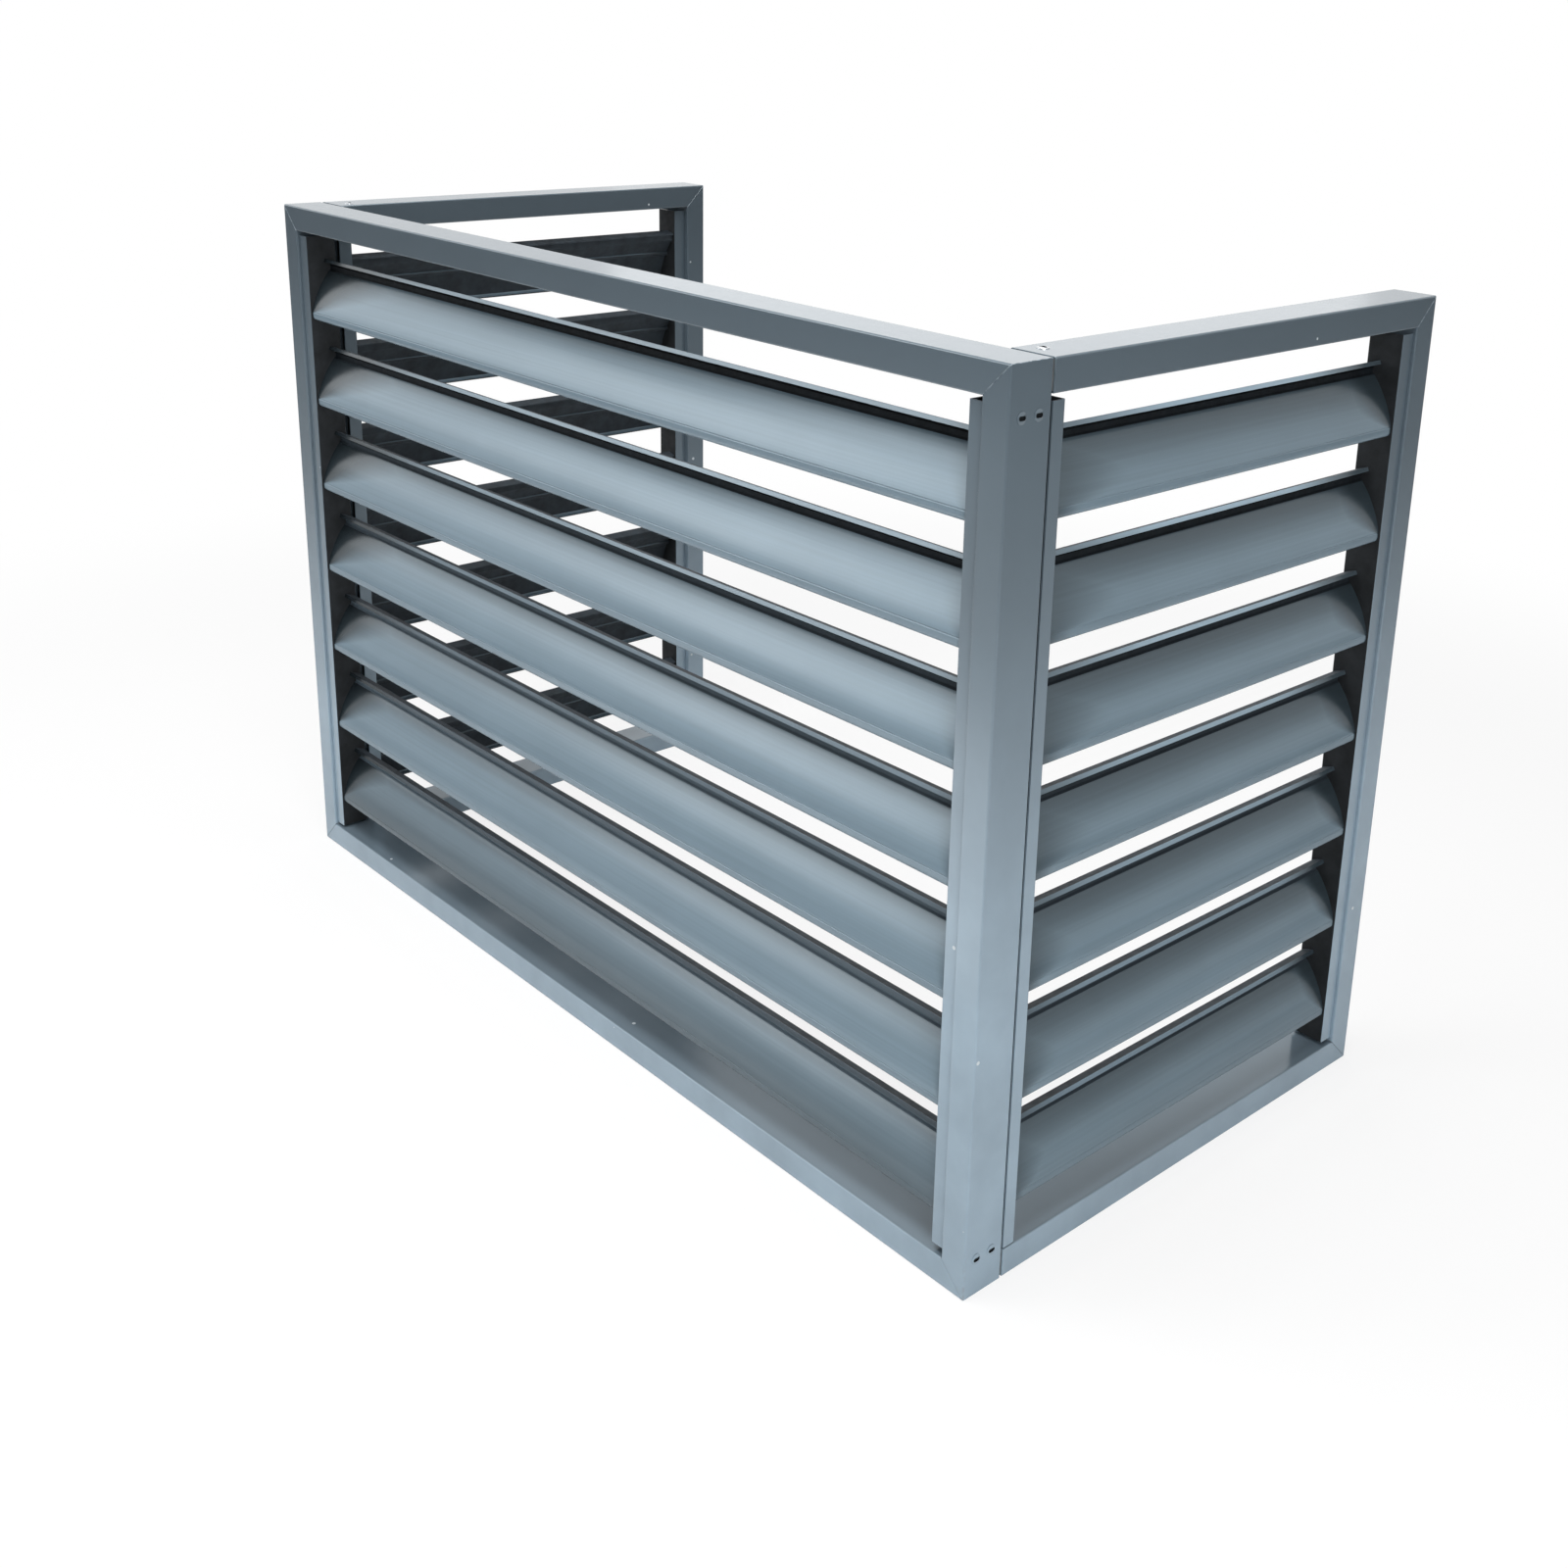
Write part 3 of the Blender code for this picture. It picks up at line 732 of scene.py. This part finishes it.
def tube_places(panel, butt_gap):
    """Each tube of a panel: node, corner it starts from, direction, outer side, length, mitres."""
    first, last, mitres = PANELS[panel]
    top, bottom = panel + "_top_rail", panel + "_bottom_rail"
    low, high = panel_box(panel, top, bottom)
    low.z, high.z = CAD_LOW.z, CAD_HIGH.z
    whole = CAD_HIGH - CAD_LOW
    panel_length = whole.x if panel == "front" else whole.y
    low.x = 0 if mitres[0] else low.x + butt_gap
    high.x = panel_length if mitres[1] else high.x - butt_gap
    length, height = high.x - low.x, high.z - low.z
    upper_end = Vector((high.x, low.y, high.z))
    places = [
        (top, Vector((low.x, low.y, high.z)), X_AXIS, Z_AXIS, length, mitres),
        (bottom, Vector((high.x, low.y, low.z)), -X_AXIS, -Z_AXIS, length, mitres[::-1]),
    ]
    stiles = ((first, low, Z_AXIS, -X_AXIS), (last, upper_end, -Z_AXIS, X_AXIS))
    for mitred, (end, corner, direction, outer) in zip(mitres, stiles):
        if mitred:
            name = "%s_%s_stile" % (panel, end)
            places.append((name, corner, direction, outer, height, (True, True)))
    return places


def along(start, direction, outer):
    """The matrix of a tube that starts at a corner: X runs along it and Z looks outwards."""
    matrix = Matrix((direction, outer.cross(direction), outer)).transposed().to_4x4()
    matrix.translation = start
    return matrix


def straight_to(shape, corner, depth, height):
    """Draws one straight side of a section and returns its end."""
    end = bmesh.ops.extrude_vert_indiv(shape, verts=[corner])["verts"][0]
    end.co = (0, depth, height)
    return end


def round_to(shape, corner, centre, depth, height, steps):
    """Draws an arc of a section about a centre and returns its end."""
    start = corner.co.yz - Vector(centre)
    end = Vector((depth, height)) - Vector(centre)
    turn = math.atan2(start.x * end.y - start.y * end.x, start.dot(end))
    made = bmesh.ops.spin(
        shape, geom=[corner], cent=(0, *centre), axis=X_AXIS, dvec=(0, 0, 0),
        angle=turn, steps=steps, use_duplicate=False)
    return only_verts(made["geom_last"])[0]


def arc_centre(start, end, bulge):
    """Centre and radius of the arc from start to end that bows out by the bulge."""
    chord = end - start
    radius = chord.length_squared / (8 * bulge) + bulge / 2
    inwards = Vector((-chord.y, chord.x)).normalized()
    return (start + end) / 2 + inwards * (radius - bulge), radius


def on_circle(centre, radius, turn):
    """The point of a circle at an angle."""
    return centre + Vector((math.cos(turn), math.sin(turn))) * radius


def crown_lines(sizes):
    """Heights of the lip's lower edge and of the bead, depth of the groove's back, and slope."""
    lip_bottom = sizes.rise - sizes.crown_lip
    bead_height = (lip_bottom + sizes.blade_top + sizes.shoulder) / 2
    back = sizes.crown_front + sizes.groove_depth
    return lip_bottom, bead_height, back, sizes.crown_fall / sizes.crown_depth


def draw_crown(shape, sizes):
    """The crown's top, its lip and the groove's back, down to the blade's upper edge."""
    front, wall, lean = sizes.crown_front, sizes.wall, sizes.lip_lean
    lip_bottom, bead_height, back, slope = crown_lines(sizes)
    corner = shape.verts.new((0, front + sizes.crown_depth, sizes.rise - sizes.crown_fall))
    outline = (
        (front + lean, sizes.rise), (front, lip_bottom), (front + wall, lip_bottom),
        (front + lean + wall, sizes.rise - wall - slope * wall),
        (back, sizes.rise - wall - slope * sizes.groove_depth),
        (back, bead_height + 2 * sizes.bead), (back - sizes.bead, bead_height + sizes.bead),
        (back - sizes.bead, bead_height), (back, bead_height - sizes.bead),
        (back, sizes.blade_top + sizes.shoulder), (sizes.blade_top_depth, sizes.blade_top),
    )
    for depth, height in outline:
        corner = straight_to(shape, corner, depth, height)
    return corner


def draw_nose(shape, corner, sizes):
    """The fine groove above the nose and the rolled lip, round to its inner face."""
    setback, line, radius, drop = sizes.setback, sizes.nose_line, sizes.nose_radius, sizes.nose_drop
    middle = Vector((setback + radius, radius - drop))
    reach, inner = middle.x + sizes.nose_return, radius - sizes.wall
    for depth, height in ((setback + line, 0), (setback, -line), (setback, middle.y)):
        corner = straight_to(shape, corner, depth, height)
    corner = round_to(shape, corner, middle, middle.x, -drop, ROUND_STEPS)
    under = ((reach, -drop), (reach, sizes.wall - drop), (middle.x, sizes.wall - drop))
    for depth, height in under:
        corner = straight_to(shape, corner, depth, height)
    return round_to(shape, corner, middle, middle.x - inner, middle.y, ROUND_STEPS)


def draw_back(shape, corner, centre, radius, turns, sizes):
    """The blade's inner face from the nose up, with its screw port, and the web's back."""
    top_turn, nose_turn = turns
    port_turn = nose_turn + (top_turn - nose_turn) * sizes.port_share
    half_port = math.copysign(sizes.port_radius / radius, nose_turn - top_turn)
    port_middle = on_circle(centre, radius, port_turn)
    arcs = (
        (centre, on_circle(centre, radius, port_turn + half_port)),
        (port_middle, on_circle(centre, radius - sizes.port_radius, port_turn)),
        (port_middle, on_circle(centre, radius, port_turn - half_port)),
        (centre, on_circle(centre, radius, top_turn)),
    )
    corner = straight_to(shape, corner, *on_circle(centre, radius, nose_turn))
    for middle, end in arcs:
        corner = round_to(shape, corner, middle, *end, ROUND_STEPS)
    _, _, groove_back, slope = crown_lines(sizes)
    back, under = groove_back + sizes.wall, sizes.rise - sizes.wall
    corner = straight_to(shape, corner, back, sizes.blade_top + sizes.shoulder)
    corner = straight_to(shape, corner, back, under - slope * (back - sizes.crown_front))
    return straight_to(
        shape, corner, sizes.crown_front + sizes.crown_depth, under - sizes.crown_fall)


def slat_section(sizes):
    """The slat's section as one face in the plane of depth and height."""
    shape = bmesh.new()
    top = Vector((sizes.blade_top_depth, sizes.blade_top))
    nose = Vector((sizes.setback, sizes.nose_line))
    centre, radius = arc_centre(top, nose, sizes.bulge)
    turns = [math.atan2(end.y - centre.y, end.x - centre.x) % math.tau for end in (top, nose)]
    corner = draw_crown(shape, sizes)
    corner = round_to(shape, corner, centre, *nose, BLADE_STEPS)
    corner = draw_nose(shape, corner, sizes)
    corner = draw_back(shape, corner, centre, radius - sizes.wall, turns, sizes)
    shape.verts.ensure_lookup_table()
    shape.edges.new((corner, shape.verts[0]))
    bmesh.ops.contextual_create(shape, geom=shape.edges[:])
    return shape


def round_corners(shape, radius):
    """Rounds the section's sharp corners."""
    corners = []
    for vert in shape.verts:
        sides = [edge.other_vert(vert).co - vert.co for edge in vert.link_edges]
        if len(sides) == 2 and math.pi - sides[0].angle(sides[1]) > CORNER_ANGLE:
            corners.append(vert)
    bevelled(shape, corners, radius, EDGE_STEPS, affect="VERTICES")


def paint_lip_light_and_inner_shade(shape, sizes):
    """Gives the lip its painted highlight and shade, and the groove and the inner side their
    painted shade.
    """
    lip_bottom, bead_height, back, slope = crown_lines(sizes)
    for skin in shape.faces:
        middle = skin.calc_center_median()
        ceiling = sizes.rise - sizes.wall / 2 - slope * (middle.y - sizes.crown_front)
        deep = sizes.crown_front + sizes.wall / 2 < middle.y < back + SAME_PLACE
        if deep and sizes.blade_top < middle.z < ceiling and abs(skin.normal.x) < END_ON:
            skin.material_index = GROOVE if middle.z > bead_height else GROOVE_FOOT
        elif skin.normal.y < -TURNED and middle.z > lip_bottom:
            skin.material_index = LIP_LIGHT
        elif skin.normal.y > TURNED and (skin.normal.z < UPTURNED or middle.z > sizes.blade_top):
            skin.material_index = BACK_SHADE


def mark_places(shape, length, turned):
    """Writes each vertex's distance from both ends of the slat and its height over the nose."""
    layer = shape.verts.layers.float_vector.new("slat_place")
    for vert in shape.verts:
        ends = (vert.co.x, length - vert.co.x)
        vert[layer] = Vector((*(reversed(ends) if turned else ends), vert.co.z))


def push(shape, vector):
    """Extrudes every face of a flat shape along a vector."""
    made = bmesh.ops.extrude_face_region(shape, geom=shape.faces[:])["geom"]
    bmesh.ops.translate(shape, vec=vector, verts=only_verts(made))


def channel_section(width, depth, height, sizes):
    """A C-shaped upright: open towards X = 0, its web at X = width in painted shade."""
    shape = bmesh.new()
    corner = shape.verts.new((0, 0, 0))
    for x, y in ((width, 0), (width, depth), (0, depth)):
        corner = bmesh.ops.extrude_vert_indiv(shape, verts=[corner])["verts"][0]
        corner.co = (x, y, 0)
    made = bmesh.ops.extrude_edge_only(shape, edges=shape.edges[:])["geom"]
    bmesh.ops.translate(shape, vec=(0, 0, height), verts=only_verts(made))
    folds = [edge for edge in shape.edges if len(edge.link_faces) == 2]
    bevelled(shape, folds, sizes.corner_radius, CHANNEL_STEPS)
    for skin in shape.faces:
        middle = skin.calc_center_median() - Vector((0, depth / 2, height / 2))
        if skin.normal.dot(middle) < 0:
            skin.normal_flip()
    bmesh.ops.solidify(shape, geom=shape.faces[:], thickness=sizes.wall)
    for skin in shape.faces:
        if abs(skin.normal.x) > SQUARE_ON and skin.calc_center_median().x > width / 2:
            skin.material_index = SHADED
    return shape


def head_profile(sizes):
    """A turned pan head that stands on Z = 0."""
    shape = bmesh.new()
    radius, rim, height = sizes.head_radius, sizes.head_rim, sizes.head_height
    rise = height - rim
    dome_radius = (radius ** 2 + rise ** 2) / (2 * rise)
    corner = shape.verts.new((0, 0, height))
    corner = round_to(shape, corner, (0, height - dome_radius), radius, rim, DOME_STEPS)
    corner = straight_to(shape, corner, radius, 0)
    straight_to(shape, corner, 0, 0)
    bmesh.ops.spin(
        shape, geom=all_geometry(shape), cent=(0, 0, 0), axis=Z_AXIS, dvec=(0, 0, 0),
        angle=math.tau, steps=HEAD_SIDES, use_merge=True, use_duplicate=False)
    bmesh.ops.remove_doubles(shape, verts=shape.verts, dist=SAME_PLACE)
    bmesh.ops.recalc_face_normals(shape, faces=shape.faces)
    return shape


def slot_cutter(sizes):
    """The slot's shaded block, round at both ends, which narrows towards its floor."""
    shape = block(sizes.slot_length, sizes.slot_width, 2 * sizes.slot_depth)
    corners = edges_along(shape, 2, sizes.slot_depth)
    bevelled(shape, corners, sizes.slot_width * SLOT_END, SLOT_STEPS)
    low = [vert for vert in shape.verts if vert.co.z < 0]
    bmesh.ops.scale(shape, vec=(sizes.slot_taper, sizes.slot_taper, 1), verts=low)
    bmesh.ops.translate(shape, vec=(0, 0, sizes.head_height), verts=shape.verts)
    for skin in shape.faces:
        skin.material_index = SHADED
    return shape


def screw_head(sizes):
    """The pan head with its slot, as a mesh."""
    looks = [finish("frame_coat"), finish("slot_shade")]
    head = object_of("head", head_profile(sizes), looks)
    cutter = object_of("cutter", slot_cutter(sizes), looks)
    cut = head.modifiers.new("slot", "BOOLEAN")
    cut.solver = "EXACT"
    cut.object = cutter
    bpy.context.view_layer.update()
    graph = bpy.context.evaluated_depsgraph_get()
    mesh = bpy.data.meshes.new_from_object(head.evaluated_get(graph))
    for made in (head, cutter):
        bpy.data.objects.remove(made)
    return mesh


def screw_place(name):
    """Where a screw's head sits on its tube, and which way it looks."""
    low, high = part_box(name)
    place = (low + high) / 2
    if "connector" in name:
        place.z = high.z
        return place, Z_AXIS
    outwards = X_AXIS if name.startswith("right") else -X_AXIS
    place.x = high.x if outwards.x > 0 else low.x
    return place, outwards


class LOUVRE_OT_frame_tubes(bpy.types.Operator):
    """Builds the rails and stiles of the three panels"""
    bl_idname = "louvre.frame_tubes"
    bl_label = "Frame tubes"

    def execute(self, context):
        sizes = context.scene.louvre_tubes
        low, high = panel_box("front", "front_left_stile")
        depth, face = high.y - low.y, high.x - low.x
        for panel in PANELS:
            for name, start, direction, outer, length, mitres in tube_places(panel, sizes.butt_gap):
                shape = frame_tube(length, depth, face, mitres, sizes)
                matrix = panel_matrix(panel) @ along(start, direction, outer)
                corner = finish("rubbed_corner" if name.endswith("stile") else "frame_coat")
                coats = (finish("frame_coat"), finish("worn_edge"), corner)
                finish_piece(name + "_tube", shape, matrix, coats, "frame", name)
        return {"FINISHED"}


class LOUVRE_OT_channels(bpy.types.Operator):
    """Builds the upright channels that carry the slats"""
    bl_idname = "louvre.channels"
    bl_label = "Channels"

    def execute(self, context):
        sizes = context.scene.louvre_channels
        coats = (finish("channel_coat"), finish("web_coat"))
        for panel, (first, last, _) in PANELS.items():
            for end, facing in ((first, 1), (last, -1)):
                name = "%s_%s_channel" % (panel, end)
                low, high = panel_box(panel, name)
                side_gap, foot_gap, outwards = CHANNEL_GAPS.get(name, (0, sizes.foot_gap, 0))
                low.z += foot_gap
                low.y -= outwards
                if facing > 0:
                    low.x += side_gap
                else:
                    high.x -= side_gap
                shape = channel_section(*(high - low), sizes)
                corner = Vector((low.x if facing > 0 else high.x, low.y, low.z))
                place = Matrix.Translation(corner) @ Matrix.Diagonal((facing, 1, 1, 1))
                matrix = panel_matrix(panel) @ place
                finish_piece(name + "_upright", shape, matrix, coats, "channel", name)
        return {"FINISHED"}


class LOUVRE_OT_slats(bpy.types.Operator):
    """Builds the extruded slats"""
    bl_idname = "louvre.slats"
    bl_label = "Slats"

    def execute(self, context):
        sizes = context.scene.louvre_slats
        for panel in PANELS:
            way = "_x" if panel == "front" else "_y"
            looks = (
                "slat_coat" + way, "groove_shade", "groove_foot" + way, "slat_back",
                "lip_coat" + way)
            coats = [finish(look) for look in looks]
            for number in range(1, SLAT_COUNT + 1):
                name = "%s_slat_%d" % (panel, number)
                low, high = panel_box(panel, name)
                shape = slat_section(sizes)
                round_corners(shape, sizes.edge_radius)
                push(shape, X_AXIS * (high.x - low.x))
                mark_places(shape, high.x - low.x, panel == "left")
                bmesh.ops.recalc_face_normals(shape, faces=shape.faces)
                paint_lip_light_and_inner_shade(shape, sizes)
                place = Matrix.Translation((low.x, 0, low.z + sizes.nose_drop))
                matrix = panel_matrix(panel) @ place
                finish_piece(name + "_blade", shape, matrix, coats, "slat", name)
        return {"FINISHED"}


class LOUVRE_OT_screws(bpy.types.Operator):
    """Builds the heads of the corner and connector screws"""
    bl_idname = "louvre.screws"
    bl_label = "Screws"

    def execute(self, context):
        head = screw_head(context.scene.louvre_screws)
        for name in sorted(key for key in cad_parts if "screw" in key):
            place, outwards = screw_place(name)
            shape = bmesh.new()
            shape.from_mesh(head)
            turn = outwards.to_track_quat("Z", "Y").to_matrix().to_4x4()
            plate = finish("zinc_plate" if "connector" in name else "frame_coat")
            coats, matrix = (plate, finish("slot_shade")), Matrix.Translation(place) @ turn
            finish_piece(name + "_head", shape, matrix, coats, "screw", name)
        bpy.data.meshes.remove(head)
        return {"FINISHED"}


class LOUVRE_OT_hidden_metal(bpy.types.Operator):
    """Gives the keys and connectors inside the tubes their cast finish"""
    bl_idname = "louvre.hidden_metal"
    bl_label = "Keys and connectors"

    def execute(self, context):
        for name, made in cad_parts.items():
            if name.endswith(("_key", "_connector")):
                made.data.materials.clear()
                made.data.materials.append(finish("cast_metal"))
        return {"FINISHED"}


def softbox(name, place, aim, size, power):
    """A rectangular area lamp that looks at a point and that no camera sees."""
    data = bpy.data.lights.new(name, "AREA")
    data.shape, data.energy = "RECTANGLE", power
    data.size, data.size_y = size
    lamp = bpy.data.objects.new(name, data)
    lamp.location = place
    lamp.rotation_euler = (Vector(aim) - Vector(place)).to_track_quat("-Z", "Y").to_euler()
    lamp.visible_camera = False
    bpy.context.scene.collection.objects.link(lamp)


def seen_directly(tree, mirrored):
    """1 for rays from the camera or through glass, a share in a reflection, else 0."""
    path = tree.nodes.new("ShaderNodeLightPath").outputs
    straight = maths("MAXIMUM", path["Is Camera Ray"], path["Is Transmission Ray"])
    return maths("MAXIMUM", straight, product(path["Is Glossy Ray"], mirrored))


def light_room(level):
    """Even light from all round, white where it is seen."""
    world = bpy.data.worlds.new("room")
    world.use_nodes = True
    tree = world.node_tree
    strength = mapped(seen_directly(tree, 1.0), 0, 1, level, 1)
    fill(tree.nodes["Background"], Color=(1, 1, 1, 1), Strength=strength)
    bpy.context.scene.world = world


def floor_finish(studio):
    """Pale floor that shows near white, keeps a soft shadow, and is plain white far out."""
    material, shader, place = new_material("floor_paint")
    fill(
        shader, Base_Color=(*studio.floor_colour, 1), Roughness=FLOOR_ROUGHNESS,
        Specular_IOR_Level=0)
    tree = material.node_tree
    distance = node("VectorMath", place)
    distance.operation = "LENGTH"
    feed(distance.inputs[0], place)
    lift = between(
        distance.outputs["Value"], studio.white_from / 2, studio.white_from,
        studio.floor_whiteness, 1)
    share = product(lift, seen_directly(tree, studio.floor_mirrored))
    blend = node("MixShader", place, Fac=share)
    feed(blend.inputs[1], shader.outputs["BSDF"])
    feed(blend.inputs[2], node("Emission", place).outputs["Emission"])
    fill(tree.nodes["Material Output"], Surface=blend.outputs["Shader"])
    return material


class LOUVRE_OT_stage(bpy.types.Operator):
    """Sets up the floor, the lamps, the room light and the camera"""
    bl_idname = "louvre.stage"
    bl_label = "Stage"

    def execute(self, context):
        studio = context.scene.louvre_studio
        shape = bmesh.new()
        bmesh.ops.create_grid(shape, x_segments=1, y_segments=1, size=FLOOR_SIZE)
        floor = object_of("floor", shape, [floor_finish(studio)])
        for name, values in SOFTBOXES.items():
            softbox(name + "_softbox", *values)
        light_room(studio.sky_level)
        camera = bpy.data.objects.new("camera", bpy.data.cameras.new("camera"))
        camera.data.lens = studio.lens
        camera.data.shift_x, camera.data.shift_y = studio.shift
        camera.location = studio.camera_place
        camera.rotation_euler = Euler(studio.camera_turn)
        context.scene.collection.objects.link(camera)
        context.scene.camera = camera
        context.scene.view_settings.view_transform = "Standard"
        return {"FINISHED"}


class LOUVRE_PT_builder(bpy.types.Panel):
    """Lists the sizes and the steps that build the screen"""
    bl_idname = "LOUVRE_PT_builder"
    bl_label = "Louvred screen"
    bl_space_type = "VIEW_3D"
    bl_region_type = "UI"
    bl_category = "Louvred screen"

    def draw(self, context):
        layout = self.layout
        for name in SETTINGS:
            group = getattr(context.scene, name)
            box = layout.box()
            for key in group.__annotations__:
                box.prop(group, key)
        for operator in OPERATORS:
            layout.operator(operator.bl_idname)


SETTINGS = {
    "louvre_tubes": TubeSizes,
    "louvre_channels": ChannelSizes,
    "louvre_slats": SlatSizes,
    "louvre_screws": ScrewSizes,
    "louvre_finishes": Finishes,
    "louvre_studio": Studio,
}
OPERATORS = (
    LOUVRE_OT_frame_tubes,
    LOUVRE_OT_channels,
    LOUVRE_OT_slats,
    LOUVRE_OT_screws,
    LOUVRE_OT_hidden_metal,
    LOUVRE_OT_stage,
)


def register():
    """Registers the classes and hangs the settings on the scene."""
    for name, group in SETTINGS.items():
        bpy.utils.register_class(group)
        setattr(bpy.types.Scene, name, PointerProperty(type=group))
    for operator in OPERATORS:
        bpy.utils.register_class(operator)
    bpy.utils.register_class(LOUVRE_PT_builder)


def unregister():
    """Takes the classes and the settings away again."""
    bpy.utils.unregister_class(LOUVRE_PT_builder)
    for operator in reversed(OPERATORS):
        bpy.utils.unregister_class(operator)
    for name, group in SETTINGS.items():
        delattr(bpy.types.Scene, name)
        bpy.utils.unregister_class(group)


def main():
    """Builds every piece and the stage."""
    register()
    bpy.ops.louvre.frame_tubes()
    bpy.ops.louvre.channels()
    bpy.ops.louvre.slats()
    bpy.ops.louvre.screws()
    bpy.ops.louvre.hidden_metal()
    bpy.ops.louvre.stage()
    bpy.context.view_layer.update()


if __name__ == "__main__":
    main()
